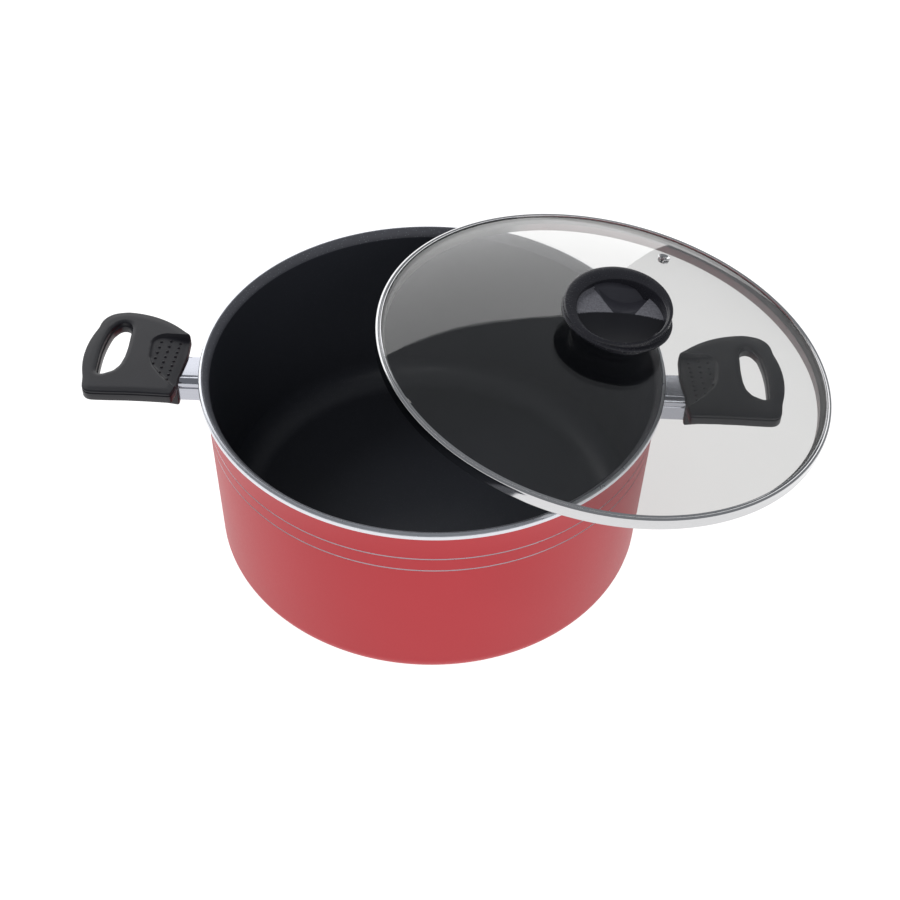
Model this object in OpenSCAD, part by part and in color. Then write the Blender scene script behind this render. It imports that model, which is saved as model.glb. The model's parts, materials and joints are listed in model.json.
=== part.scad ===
// Two-handled stock pot with a domed glass lid lying ajar on its rim.
// Millimetres. +Z is up, the handles lie along X, and the origin is the centre of the pot's base.
// The lid's parts are drawn in the lid's own frame, with z = 0 at the top of its steel band.

/* [Pot] */
// Diameter over the bare rim
rim_d = 288; // [280:1:296]
// Height from the base to the top of the rim
pot_h = 132; // [120:1:150]
// Height of the bare machined band at the rim
band_h = 4; // [3:0.5:6]
// How far the rim stands out from the wall
rim_step = 3.5; // [2:0.5:5]
// Draft of the wall, in millimetres per 100 mm of height
wall_draft = 2.9; // [0:0.1:5]
// Thickness of the wall
wall_t = 3; // [2:0.5:4]
// Thickness of the base
base_t = 5; // [3:0.5:8]
// Outside radius of the bottom corner
corner_r = 12; // [8:1:16]
// Inside radius between wall and floor
fillet_r = 20; // [14:1:26]

/* [Handles] */
// Reach of a handle, from the pot's centre to its outer edge
handle_reach = 218; // [214:1:222]
// Distance from the pot's centre to a handle's inner end
handle_start = 155.5; // [153:0.5:158]
// Distance of a handle's inner end behind its centre line
handle_root_back = 24.5; // [22:0.5:27]
// Greatest width of a handle
handle_w = 76.5; // [73:0.5:79]
// Thickness of the handle's plate
handle_t = 8; // [7:0.5:10]
// Depth of the handle's top below the rim
handle_drop = 6; // [6:0.5:12]
// How far the plate's outer part is swept towards the back
handle_sweep = 7.25; // [5.5:0.25:8.5]
// Width of the finger slot
slot_w = 16; // [14:0.5:18]
// Length of the finger slot
slot_l = 50; // [46:1:54]
// Diameter of a grip dot
dot_d = 1.8; // [1.2:0.1:2.2]

/* [Flame guards] */
// Width of a flame guard
guard_w = 25; // [22:0.5:27]
// Height of a flame guard
guard_h = 17; // [16:0.5:18]
// Depth of the guard's top below the rim
guard_drop = 12; // [12:0.5:13]
// Thickness of the guard's sheet
guard_t = 1; // [0.8:0.1:1.5]
// Diameter of the stud welded to the wall
stud_d = 13; // [11:0.5:13]

/* [Lid] */
// Diameter over the lid's steel band
lid_d = 288; // [284:1:290]
// Height of the glass's crown above the band
dome_h = 17; // [14:1:24]
// Thickness of the glass
glass_t = 4; // [3:0.5:5]
// Height of the band's outer wall
skirt_h = 6.5; // [6:0.5:8]
// Depth of the band's inner step, which drops inside the pot's rim
step_h = 4.5; // [3:0.5:5]
// Distance of the lid's centre to the side of the pot's centre
lid_x = 107; // [106:0.5:112]
// Distance of the lid's centre behind the pot's centre
lid_y = 11; // [0:0.5:14]
// Height of the lid's band above the rim, at the lid's centre
lid_z = 5.9; // [5.9:0.1:9]
// Tilt of the lid from level
lid_tilt = 8.2; // [7.8:0.1:8.4]
// Direction in which the lid leans, from +X towards +Y
lid_lean = 9; // [0:1:12]
// Distance of the steam vent from the lid's centre
vent_r = 103.5; // [90:0.5:115]
// Direction of the steam vent in the lid
vent_az = 67; // [0:1:180]

/* [Knob] */
// Diameter of the knob
knob_d = 70; // [66:1:74]
// Diameter of the finger recess in its top
recess_d = 56; // [52:1:58]
// Width of the grip bar at its waist
bar_w = 5; // [4:0.5:7]
// Height of the knob, from its foot to the lowest point of its rim
knob_h = 15; // [14:0.5:18]
// How much higher the rim is on the other side
knob_rise = 10; // [7:0.5:11]

/* [Fasteners] */
// Thread diameter of the screws
screw_d = 5; // [4:0.5:5]
// Diameter of a screw's head
head_d = 9.5; // [8:0.5:10]
// Height of a screw's head
head_h = 3; // [2.5:0.5:4]

/* [Hidden] */

// smoothness of full circles, and of the short arcs of an outline
fine = 180;
small = 48;
arc_steps = 10;
dome_steps = 24;

// clearances: within one body, round a screw's thread, and between bodies
snug = 0.05;
screw_gap = 0.3;
body_gap = 0.3;
// overshoot of a cutting shape past the face that it opens
cut = 1;

// pot
rim_r = rim_d / 2;
wall_top_r = rim_r - rim_step;
wall_top_z = pot_h - band_h;
// width of the small flat on top of the rim, and of the coated lip's slope inside it
rim_flat = 0.8;
lip_drop = 4;
function wall_r(z) = wall_top_r - wall_draft * (wall_top_z - z) / 100;
function arc(cx, cy, r, a0, a1, n = arc_steps) =
  [for (i = [0:n]) let (a = a0 + (a1 - a0) * i / n) [cx + r * cos(a), cy + r * sin(a)]];

// flame guard, stud and screw, all on one line through the guard's middle
guard_top = pot_h - guard_drop;
axis_z = guard_top - guard_h / 2;
guard_bead_r = 2.6;
guard_bead_out = 0.8;
// how far the guard reaches into the handle, and the stud's end face behind it
guard_socket = 6;
stud_end = handle_start + guard_socket;
stud_bore_depth = 16;

// handle
handle_top = pot_h - handle_drop;
boss_end = 184;
boss_wall = 3;
boss_w = guard_w + 2 * boss_wall;
boss_bottom = guard_top - guard_h - 1.5;
bore_head_depth = 8;
washer_t = 1.2;
head_seat = boss_end - bore_head_depth;
// middle of the finger slot, beside the pot's centre and behind it
slot_x = 200;
slot_y = 10.6;
// recess for the thumb
scoop_len = 22.4;
scoop_depth = 1.6;
// raised dots in it: nine in the row nearest the pot, and two fewer in each row after that
dot_rows = 3;
dots_first = 9;
dot_row_gap = 6;
dot_pitch = 4.4;
dot_lean = 0.38;
dot_h = 0.6;

// lid: the glass's edge sits in the band
lid_r = lid_d / 2;
band_t = 0.8;
glass_r = lid_r - band_t - 0.2;
bead_in = 3.6;
bead_h = 1.4;
// the inner step's radius, small enough to drop inside the pot's lip
step_r = rim_r - 6;
// shape of the crown: flat in the middle and steeper at the edge
dome_power = 3;
function dome(r) = dome_h * (1 - pow(r / glass_r, dome_power));

// lid fittings
gasket_t = 1;
gasket_d = 28;
cup_d = 22;
cup_t = 1.2;
glass_bore_d = 8;
vent_bore_d = 5;
eyelet_d = 8;
eyelet_hole_d = 3;
eyelet_t = 0.8;
screw_len = 12;

// knob, drawn from its foot up
foot_d = 44;
foot_h = 2.5;
neck_d = 50;
neck_h = 2.5;
disc_h = 7;
recess_floor = 10;
bar_h = 4;
// azimuth of the rim's highest point
rise_az = 50;
// the recess is off centre, so the rim is broadest at the back left
recess_x = 1.5;
recess_y = -3;
knob_z = dome_h + gasket_t + body_gap;
knob_top = knob_h + knob_rise;
insert_d = 10;
insert_h = 9;

// lid frame: tilted by lid_tilt towards lid_lean, over the rim
module in_lid() {
  translate([lid_x, lid_y, pot_h + lid_z])
    rotate([0, 0, lid_lean])
      rotate([0, lid_tilt, 0])
        rotate([0, 0, -lid_lean])
          children();
}

// a cylinder along +X between two distances from the pot's centre, on the screw's line
module along_x(x0, x1, d) {
  translate([x0, 0, axis_z])
    rotate([0, 90, 0])
      cylinder(h = x1 - x0, d = d, $fn = small);
}

// the space inside the pot's outer wall, a little enlarged, to fit parts against the wall
module wall_space() {
  rotate_extrude($fn = fine)
    polygon([
      [0, corner_r],
      [wall_r(corner_r) + snug, corner_r],
      [wall_top_r + snug, wall_top_z],
      [0, wall_top_z]
    ]);
}

module pot_body() {
  side_r = wall_r(corner_r);
  floor_r = wall_r(base_t + fillet_r) - wall_t;
  outer = concat(
    [[0, 0]],
    arc(side_r - corner_r, corner_r, corner_r, -90, 0),
    [[wall_top_r, wall_top_z - 1], [rim_r, wall_top_z], [rim_r, pot_h]]
  );
  inner = concat(
    [[rim_r - rim_flat, pot_h], [wall_top_r - wall_t, pot_h - lip_drop]],
    arc(floor_r - fillet_r, base_t + fillet_r, fillet_r, 0, -90),
    [[0, base_t]]
  );
  color([0.72, 0.2, 0.24])
    rotate_extrude($fn = fine)
      polygon(concat(outer, inner));
}

module stud() {
  color([0.75, 0.76, 0.78])
    difference() {
      along_x(wall_r(axis_z) - 2, stud_end, stud_d);
      wall_space();
      along_x(stud_end - stud_bore_depth, stud_end + cut, screw_d + 2 * snug);
    }
}

// section of the guard's sleeve: a rounded box with a rolled bead along its front top edge
module guard_section(inset) {
  half_w = guard_w / 2 - inset;
  half_h = guard_h / 2 - inset;
  r = guard_bead_r - inset;
  polygon(concat(
    arc(half_h - r, half_w - r, r, 0, 90),
    arc(-half_h + r, half_w - r, r, 90, 180),
    arc(-half_h + r, -half_w + r, r, 180, 270),
    arc(half_h - r, -half_w + r, r, 270, 360)
  ));
}

module flame_guard() {
  sleeve_end = stud_end - snug;
  color([0.82, 0.83, 0.85])
    difference() {
      union() {
        translate([wall_r(axis_z) - 4, 0, axis_z])
          rotate([0, 90, 0])
            mirror([1, 0, 0])
              linear_extrude(sleeve_end - wall_r(axis_z) + 4)
                guard_section(0);
        translate([wall_r(axis_z) - 4, -guard_w / 2 + guard_bead_r, guard_top - guard_bead_r])
          rotate([0, 90, 0])
            cylinder(h = handle_start - snug - wall_r(axis_z) + 4, r = guard_bead_r + guard_bead_out, $fn = small);
      }
      translate([0, 0, axis_z])
        rotate([0, 90, 0])
          mirror([1, 0, 0])
            linear_extrude(stud_end + cut)
              guard_section(guard_t);
      wall_space();
    }
}

// outline of the handle's plate: straight in front, bowed at the outer edge and the back
module handle_outline() {
  front_y = handle_sweep - handle_w / 2;
  back_y = handle_sweep + handle_w / 2;
  back_r = 58.5;
  corner_r = 13.6;
  outer_r = 73;
  front_r = 6;
  polygon(concat(
    [[handle_start + 2.5, front_y], [handle_start + 0.8, -22], [handle_start + 1.3, -13]],
    [[handle_start - 1.5, 9], [handle_start - 1.3, handle_root_back + 1]],
    arc(handle_reach - 18.5, back_y - back_r, back_r, 134, 92),
    arc(handle_reach - 18.3, back_y - corner_r - 0.7, corner_r, 84, 8),
    arc(handle_reach - outer_r, 4, outer_r, 20, -17),
    arc(handle_reach - 10.2, front_y + front_r, front_r, -12, -90)
  ));
}

// outline of the finger slot: nearly straight towards the pot, bowed towards the outer edge
module slot_outline() {
  half_l = slot_l / 2;
  half_w = slot_w / 2;
  end_r = 3.4;
  bow_r = 97;
  translate([slot_x, slot_y])
    polygon(concat(
      [[-half_w, half_l - 6.5], [-half_w - 0.4, 3.5], [-half_w + 0.2, -8], [-half_w + 1.8, -16]],
      [[-half_w + 5, -half_l + 3.7]],
      arc(half_w - 3.6, -half_l + end_r, end_r, 235, 350),
      arc(half_w + 0.2 - bow_r, -6.6, bow_r, -2, 14.5),
      arc(-2.2, half_l - 6.1, 5.6, 20, 145)
    ));
}

// thumb recess at the pot's end of the plate: a D that narrows towards the front
module scoop_outline() {
  back_y = handle_root_back + 0.8;
  corner = 9;
  polygon(concat(
    [[handle_start - 5, back_y]],
    arc(handle_start + scoop_len - corner, back_y - corner, corner, 90, 0),
    [[handle_start + scoop_len - 0.6, 2.5], [handle_start + scoop_len - 3.4, -4.7]],
    [[handle_start + 12.5, -13.6], [handle_start + 4.5, -21.5], [handle_start - 5, -21.5]]
  ));
}

module grip_dots() {
  for (row = [0:dot_rows - 1])
    let (count = dots_first - 2 * row)
      for (i = [0:count - 1])
        translate([
          handle_start + 5 + row * dot_row_gap + i * dot_lean,
          handle_root_back - 5 - i * dot_pitch,
          handle_top - scoop_depth - 0.3
        ])
          cylinder(h = 0.3 + dot_h, d = dot_d, $fn = 16);
}

module handle() {
  color([0.14, 0.14, 0.15]) {
    difference() {
      union() {
        translate([0, 0, handle_top - handle_t])
          linear_extrude(handle_t)
            handle_outline();
        translate([handle_start + 0.5, -boss_w / 2, boss_bottom])
          cube([boss_end - handle_start - 0.5, boss_w, handle_top - handle_t - boss_bottom + 0.5]);
      }
      translate([0, 0, handle_top - handle_t - cut])
        linear_extrude(handle_t + 2 * cut)
          slot_outline();
      translate([0, 0, handle_top - scoop_depth])
        linear_extrude(scoop_depth + cut)
          scoop_outline();
      // socket for the guard, bore for the screw, and counterbore for its head
      translate([0, 0, axis_z])
        rotate([0, 90, 0])
          mirror([1, 0, 0])
            linear_extrude(stud_end)
              guard_section(-snug);
      along_x(stud_end - cut, boss_end + cut, screw_d + 2 * screw_gap);
      along_x(head_seat, boss_end + 3 * cut, head_d + 2 * screw_gap);
    }
    grip_dots();
  }
}

module handle_screw() {
  seat = head_seat + washer_t;
  color([0.7, 0.71, 0.73])
    difference() {
      union() {
        along_x(stud_end - stud_bore_depth + 2, seat, screw_d);
        along_x(seat, seat + head_h, head_d);
      }
      // cross recess
      for (turn = [0, 90])
        translate([seat + head_h, 0, axis_z])
          rotate([turn, 0, 0])
            cube([3, 1.2, 5.5], center = true);
    }
}

module lock_washer() {
  color([0.6, 0.61, 0.63])
    difference() {
      along_x(head_seat, head_seat + washer_t, head_d - 0.5);
      along_x(head_seat - cut, head_seat + washer_t + cut, screw_d + 0.4);
      // the split
      translate([head_seat - cut, -0.4, axis_z])
        cube([washer_t + 2 * cut, 0.8, head_d]);
    }
}

// profile of the domed glass: crown above, and the same curve one thickness down
module lid_glass() {
  top = [for (i = [0:dome_steps]) let (r = glass_r * i / dome_steps) [r, dome(r)]];
  under = [for (i = [dome_steps:-1:0]) let (r = glass_r * i / dome_steps) [r, dome(r) - glass_t]];
  color([0.8, 0.85, 0.86, 0.35])
    in_lid()
      difference() {
        rotate_extrude($fn = fine)
          polygon(concat(top, under));
        translate([0, 0, -glass_t])
          cylinder(h = dome_h + 2 * glass_t, d = glass_bore_d, $fn = small);
        at_vent()
          translate([0, 0, -glass_t - cut])
            cylinder(h = glass_t + 2 * cut, d = vent_bore_d, $fn = small);
      }
}

// the band wraps the glass's edge, turns in under it and drops the step inside the rim
module lid_band() {
  edge_top = dome(glass_r - bead_in) + snug;
  color([0.85, 0.85, 0.86])
    in_lid()
      rotate_extrude($fn = fine)
        polygon([
          [lid_r, -0.2], [lid_r, -skirt_h], [step_r, -skirt_h],
          [step_r, -skirt_h - step_h], [step_r - band_t, -skirt_h - step_h],
          [step_r - band_t, -skirt_h + band_t], [glass_r + 0.1, -skirt_h + band_t],
          [glass_r + 0.1, 0.1], [glass_r - bead_in, edge_top],
          [glass_r - bead_in, edge_top + band_t], [glass_r - 0.6, bead_h - 0.2], [lid_r - 0.4, 0.6]
        ]);
}

// frame of the steam vent: on the crown's outer face, square to it
module at_vent() {
  slope = atan(dome_h * dome_power * pow(vent_r / glass_r, dome_power - 1) / glass_r);
  rotate([0, 0, vent_az])
    translate([vent_r, 0, dome(vent_r)])
      rotate([0, slope, 0])
        children();
}

module vent_eyelet() {
  color([0.82, 0.83, 0.84])
    in_lid()
      at_vent()
        difference() {
          union() {
            translate([0, 0, snug])
              cylinder(h = eyelet_t, d = eyelet_d, $fn = small);
            translate([0, 0, -glass_t - eyelet_t - 2 * snug])
              cylinder(h = glass_t + eyelet_t + 4 * snug, d = vent_bore_d - 2 * snug, $fn = small);
          }
          translate([0, 0, -glass_t - 3 * cut])
            cylinder(h = glass_t + 6 * cut, d = eyelet_hole_d, $fn = small);
        }
}

module eyelet_washer() {
  color([0.78, 0.79, 0.8])
    in_lid()
      at_vent()
        translate([0, 0, -glass_t - eyelet_t - 2 * snug])
          difference() {
            cylinder(h = eyelet_t, d = eyelet_d - 0.5, $fn = small);
            translate([0, 0, -cut])
              cylinder(h = eyelet_t + 2 * cut, d = vent_bore_d, $fn = small);
          }
}

// a flat ring round the screw's line, between two heights in the lid's frame
module lid_ring(z0, t, d_out, d_in) {
  in_lid()
    translate([0, 0, z0])
      difference() {
        cylinder(h = t, d = d_out, $fn = small);
        translate([0, 0, -cut])
          cylinder(h = t + 2 * cut, d = d_in, $fn = small);
      }
}

module upper_gasket() {
  color([0.12, 0.12, 0.12])
    lid_ring(dome_h, gasket_t, gasket_d, screw_d + 0.6);
}

module lower_gasket() {
  color([0.12, 0.12, 0.12])
    lid_ring(dome_h - glass_t - gasket_t - snug, gasket_t, cup_d, screw_d + 0.6);
}

module cup_washer() {
  color([0.8, 0.8, 0.82])
    lid_ring(dome_h - glass_t - gasket_t - cup_t - 2 * snug, cup_t, cup_d + 2, screw_d + 0.4);
}

module knob_screw() {
  head_top = dome_h - glass_t - gasket_t - cup_t - 3 * snug;
  color([0.8, 0.8, 0.82])
    in_lid()
      difference() {
        union() {
          translate([0, 0, head_top - head_h])
            cylinder(h = head_h, d = head_d, $fn = small);
          translate([0, 0, head_top])
            cylinder(h = screw_len + gasket_t + cup_t + glass_t - head_h, d = screw_d, $fn = small);
        }
        for (turn = [0, 90])
          translate([0, 0, head_top - head_h])
            rotate([0, 0, turn])
              cube([5.5, 1.2, 3], center = true);
      }
}

// the grip bar across the recess: waisted by a round bite at the front and at the back
module bar_outline() {
  bite_r = recess_d * 0.62;
  translate([recess_x, recess_y])
    difference() {
      circle(d = recess_d + cut, $fn = small);
      translate([0, bite_r + bar_w / 2])
        circle(r = bite_r, $fn = small);
      translate([0, -bite_r - bar_w / 2])
        circle(r = bite_r, $fn = small);
    }
}

module knob() {
  disc_z = foot_h + neck_h;
  rim_slope = atan(knob_rise / knob_d);
  color([0.15, 0.15, 0.16])
    in_lid()
      translate([0, 0, knob_z])
        difference() {
          union() {
            cylinder(h = foot_h, d = foot_d, $fn = fine);
            translate([0, 0, foot_h])
              cylinder(h = neck_h, d = neck_d, $fn = fine);
            translate([0, 0, disc_z])
              cylinder(h = disc_h, d = knob_d, $fn = fine);
            // rim, rising from the front left to the back right, with the recess and bar inside it
            difference() {
              translate([0, 0, disc_z])
                cylinder(h = knob_top - disc_z, d = knob_d - 2, $fn = fine);
              rotate([0, 0, rise_az - 90])
                translate([-knob_d, -knob_d / 2, knob_h])
                  rotate([rim_slope, 0, 0])
                    cube([2 * knob_d, 2 * knob_d, knob_top]);
            }
          }
          difference() {
            translate([recess_x, recess_y, recess_floor])
              cylinder(h = knob_top, d = recess_d, $fn = fine);
            translate([0, 0, recess_floor - cut])
              linear_extrude(bar_h + cut)
                bar_outline();
          }
          // pocket for the threaded insert
          translate([0, 0, -cut])
            cylinder(h = insert_h + cut, d = insert_d, $fn = small);
        }
}

module knob_insert() {
  color([0.8, 0.65, 0.3])
    in_lid()
      translate([0, 0, knob_z + snug])
        difference() {
          cylinder(h = insert_h - 2 * snug, d = insert_d - 2 * snug, $fn = small);
          translate([0, 0, -cut])
            cylinder(h = insert_h + 2 * cut, d = screw_d + 2 * snug, $fn = small);
        }
}

module left() {
  mirror([1, 0, 0])
    children();
}

pot_body();
left() stud();  // left_stud
left() flame_guard();  // left_flame_guard
left() handle();  // left_handle
left() handle_screw();  // left_handle_screw
left() lock_washer();  // left_lock_washer
stud();  // right_stud
flame_guard();  // right_flame_guard
handle();  // right_handle
handle_screw();  // right_handle_screw
lock_washer();  // right_lock_washer
lid_glass();
lid_band();
vent_eyelet();
eyelet_washer();
upper_gasket();
lower_gasket();
cup_washer();
knob_screw();
knob();
knob_insert();
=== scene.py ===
"""Stock pot with two phenolic handles and a glass lid lying ajar.

Lengths are in millimetres, except those of the lamps, the camera and the materials, which are in metres.
"""

import json
import math

import bmesh
import bpy
from mathutils import Matrix, Vector
from mathutils.geometry import delaunay_2d_cdt


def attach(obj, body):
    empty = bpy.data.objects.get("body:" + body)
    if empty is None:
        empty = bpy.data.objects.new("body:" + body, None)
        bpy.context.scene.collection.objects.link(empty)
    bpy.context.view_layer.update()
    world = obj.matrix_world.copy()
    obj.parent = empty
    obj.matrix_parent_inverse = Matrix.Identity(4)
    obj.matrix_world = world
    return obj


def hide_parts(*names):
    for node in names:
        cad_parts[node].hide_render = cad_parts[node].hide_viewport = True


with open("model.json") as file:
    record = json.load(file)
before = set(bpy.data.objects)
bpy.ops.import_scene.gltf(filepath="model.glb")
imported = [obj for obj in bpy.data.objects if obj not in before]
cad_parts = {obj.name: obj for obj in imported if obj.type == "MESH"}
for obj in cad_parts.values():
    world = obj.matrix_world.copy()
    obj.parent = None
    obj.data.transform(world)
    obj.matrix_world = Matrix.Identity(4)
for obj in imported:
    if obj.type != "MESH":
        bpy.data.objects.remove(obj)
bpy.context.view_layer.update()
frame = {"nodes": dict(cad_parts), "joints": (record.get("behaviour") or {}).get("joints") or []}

MM = 0.001

# ---------------------------------------------------------------- sizes, in millimetres
POT_H = 132.0
RIM_R = 144.0
BAND_H = 4.0
WALL_TOP_R = 140.5
WALL_TOP_Z = POT_H - BAND_H
DRAFT = 0.029
WALL_T = 3.0
BASE_T = 5.0
CORNER_R = 12.0
FILLET_R = 20.0
LIP_DROP = 4.0
LINES_Z = (107.6, 97.6)
LINE_W = 0.8
LINE_DEEP = 0.35
BASE_DISH_R = 38.0
BASE_DISH_DEEP = 0.5
BASE_RINGS_R = (62.0, 86.0, 108.0)
TURNED_STEPS = 288

HANDLE_TOP = 126.0
HANDLE_BOTTOM = 118.0
HANDLE_EDGE_R = 0.8
HOLLOW_H = 3.4
PLATE_FALL = 0.35
PLATE_FALL_W = 5.0
SLOT_DIP = 0.5
SLOT_DIP_W = 2.4
SCOOP_END = 178.0
SCOOP_REACH = 21.0
SCOOP_SHALLOW = 1.0
SCOOP_FALL = 2.7
BOSS_END = 184.0
BOSS_BOTTOM = 101.5
BOSS_W = 31.0
BOSS_MOUTH = 157.4
AXIS_Z = 111.5
SCREW_SEAT = 176.0
GUARD_W = 25.0
GUARD_H = 17.0
GUARD_CORNER_R = 2.6
GUARD_SHEET = 1.0
GUARD_BEAD = 0.8
BEAD_END = 156.9
GUARD_END = 161.4

LID_R = 144.0
GLASS_R = 143.0
DOME_H = 17.0
DOME_POWER = 3.0
GLASS_T = 4.0
SKIRT_H = 6.5
STEP_H = 4.5
STEP_R = 138.0
VENT_R = 103.5
VENT_AZ = math.radians(67.0)
KNOB_Z = 18.3
KNOB_JOINT_Z = 20.0
KNOB_STEPS = 240
RECESS = Vector((1.3, -2.9))
RECESS_R = 27.2
RING_AT = Vector((-0.5, 0.75))
RING_R = 33.2
RING_EDGE_R = 1.1


def wall_r(z):
    """Outside radius of the wall at a height."""
    return WALL_TOP_R - DRAFT * (WALL_TOP_Z - z)


def dome(r):
    """Height of the glass's outer face above the band, at a radius."""
    return DOME_H * (1 - (r / GLASS_R) ** DOME_POWER)


# the lid's own frame, from the knob's joint, which is on the lid's axis, KNOB_JOINT_Z above the band's top
knob_joint = next(j for j in frame["joints"] if j["name"] == "knob_turn")
lid_up = Vector(knob_joint["axis"]).normalized()
lid_origin = Vector(knob_joint["pos_m"]) / MM - KNOB_JOINT_Z * lid_up
lid_tilt = Vector((0, 0, 1)).rotation_difference(lid_up).to_matrix().to_4x4()
LID = Matrix.Translation(lid_origin) @ lid_tilt


# ---------------------------------------------------------------- materials
def tint(code):
    """Linear colour of an sRGB hex value."""
    parts = [int(code[i : i + 2], 16) / 255 for i in (1, 3, 5)]
    return tuple(c / 12.92 if c <= 0.04045 else ((c + 0.055) / 1.055) ** 2.4 for c in parts) + (1.0,)


def add(tree, kind, inputs=None, **settings):
    """Adds a node: its settings, and for each input a value or the output to link."""
    made = tree.nodes.new(kind)
    for name, value in settings.items():
        setattr(made, name, value)
    for name, value in (inputs or {}).items():
        if isinstance(value, bpy.types.NodeSocket):
            tree.links.new(value, made.inputs[name])
        else:
            made.inputs[name].default_value = value
    return made


def new_tree(name):
    made = bpy.data.materials.new(name)
    made.use_nodes = True
    made.node_tree.nodes.clear()
    return made, made.node_tree


def red_baked_enamel():
    """Sprayed and baked silicone-polyester enamel: a satin skin with a faint orange peel."""
    made, tree = new_tree("red_baked_enamel")
    spot = add(tree, "ShaderNodeTexCoord").outputs["Object"]
    # orange peel is about 1.5 mm from crest to crest
    peel = add(tree, "ShaderNodeTexNoise", {"Vector": spot, "Scale": 1 / 0.0015, "Detail": 2.0})
    # the spray's thickness drifts over about 60 mm
    drift = add(tree, "ShaderNodeTexNoise", {"Vector": spot, "Scale": 1 / 0.06, "Detail": 1.0})
    shade = add(
        tree,
        "ShaderNodeMix",
        {"Factor": drift.outputs["Fac"], "A": tint("#B31D27"), "B": tint("#BB242F")},
        data_type="RGBA",
    )
    gloss = add(
        tree,
        "ShaderNodeMapRange",
        {"Value": peel.outputs["Fac"], "To Min": 0.38, "To Max": 0.48},
    )
    bump = add(tree, "ShaderNodeBump", {"Height": peel.outputs["Fac"], "Strength": 0.06, "Distance": 0.0002})
    skin = add(
        tree,
        "ShaderNodeBsdfPrincipled",
        {
            "Base Color": shade.outputs[2],
            "Roughness": gloss.outputs[0],
            "IOR": 1.45,
            "Normal": bump.outputs[0],
        },
    )
    add(tree, "ShaderNodeOutputMaterial", {"Surface": skin.outputs[0]})
    return made


def turned_aluminium():
    """Cast aluminium, turned bare on a lathe: bright, with fine rings round the pot's axis."""
    made, tree = new_tree("turned_aluminium")
    spot = add(tree, "ShaderNodeTexCoord").outputs["Object"]
    # the tool's feed is 0.2 mm a turn; drawn at 1.2 mm so that it shows
    rings = add(
        tree,
        "ShaderNodeTexWave",
        {"Vector": spot, "Scale": 0.314 / 0.0012, "Distortion": 0.4, "Detail": 2.0},
        wave_type="RINGS",
        rings_direction="Z",
    )
    grain = add(tree, "ShaderNodeTexNoise", {"Vector": spot, "Scale": 1 / 0.003, "Detail": 3.0})
    # clean metal and a thin oxide lie in soft patches
    shade = add(
        tree,
        "ShaderNodeMix",
        {"Factor": grain.outputs["Fac"], "A": tint("#D2D4D9"), "B": tint("#DEE0E5")},
        data_type="RGBA",
    )
    gloss = add(tree, "ShaderNodeMapRange", {"Value": grain.outputs["Fac"], "To Min": 0.22, "To Max": 0.38})
    bump = add(tree, "ShaderNodeBump", {"Height": rings.outputs["Fac"], "Strength": 0.12, "Distance": 0.0002})
    metal = add(
        tree,
        "ShaderNodeBsdfPrincipled",
        {
            "Base Color": shade.outputs[2],
            "Metallic": 1.0,
            "Roughness": gloss.outputs[0],
            "Normal": bump.outputs[0],
        },
    )
    add(tree, "ShaderNodeOutputMaterial", {"Surface": metal.outputs[0]})
    return made


def nonstick_ptfe(name, dark, speck):
    """Sprayed PTFE non-stick: near black, matte, with a fine mineral sparkle."""
    made, tree = new_tree(name)
    spot = add(tree, "ShaderNodeTexCoord").outputs["Object"]
    # the spray's droplets are 0.2 to 0.4 mm; drawn at 0.9 mm so that they show
    droplets = add(
        tree,
        "ShaderNodeTexNoise",
        {"Vector": spot, "Scale": 1 / 0.0009, "Detail": 2.0, "Roughness": 0.7},
    )
    specks = add(tree, "ShaderNodeTexVoronoi", {"Vector": spot, "Scale": 1 / 0.0016})
    glint = add(
        tree,
        "ShaderNodeMapRange",
        {"Value": specks.outputs["Distance"], "From Max": 0.25, "To Min": 1.0, "To Max": 0.0},
    )
    shade = add(
        tree,
        "ShaderNodeMix",
        {"Factor": glint.outputs[0], "A": tint(dark), "B": tint(speck)},
        data_type="RGBA",
    )
    pitted = droplets.outputs["Fac"]
    gloss = add(tree, "ShaderNodeMapRange", {"Value": pitted, "To Min": 0.32, "To Max": 0.44})
    bump = add(tree, "ShaderNodeBump", {"Height": pitted, "Strength": 0.12, "Distance": 0.0002})
    lining = add(
        tree,
        "ShaderNodeBsdfPrincipled",
        {
            "Base Color": shade.outputs[2],
            "Roughness": gloss.outputs[0],
            "IOR": 1.45,
            "Normal": bump.outputs[0],
        },
    )
    add(tree, "ShaderNodeOutputMaterial", {"Surface": lining.outputs[0]})
    return made


def phenolic(name, dark, light, low, high, grain_mm, height, flow_mm=14.0):
    """Compression-moulded phenolic resin: black, with the mould's own finish on it."""
    made, tree = new_tree(name)
    spot = add(tree, "ShaderNodeTexCoord").outputs["Object"]
    grain = add(tree, "ShaderNodeTexNoise", {"Vector": spot, "Scale": 1000 / grain_mm, "Detail": 3.0})
    # flow marks in the resin
    flow = add(tree, "ShaderNodeTexNoise", {"Vector": spot, "Scale": 1000 / flow_mm, "Detail": 2.0})
    shade = add(
        tree,
        "ShaderNodeMix",
        {"Factor": flow.outputs["Fac"], "A": tint(dark), "B": tint(light)},
        data_type="RGBA",
    )
    gloss = add(tree, "ShaderNodeMapRange", {"Value": grain.outputs["Fac"], "To Min": low, "To Max": high})
    bump = add(
        tree,
        "ShaderNodeBump",
        {"Height": grain.outputs["Fac"], "Strength": height, "Distance": 0.0004},
    )
    resin = add(
        tree,
        "ShaderNodeBsdfPrincipled",
        {
            "Base Color": shade.outputs[2],
            "Roughness": gloss.outputs[0],
            "IOR": 1.45,
            "Normal": bump.outputs[0],
        },
    )
    add(tree, "ShaderNodeOutputMaterial", {"Surface": resin.outputs[0]})
    return made


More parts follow.
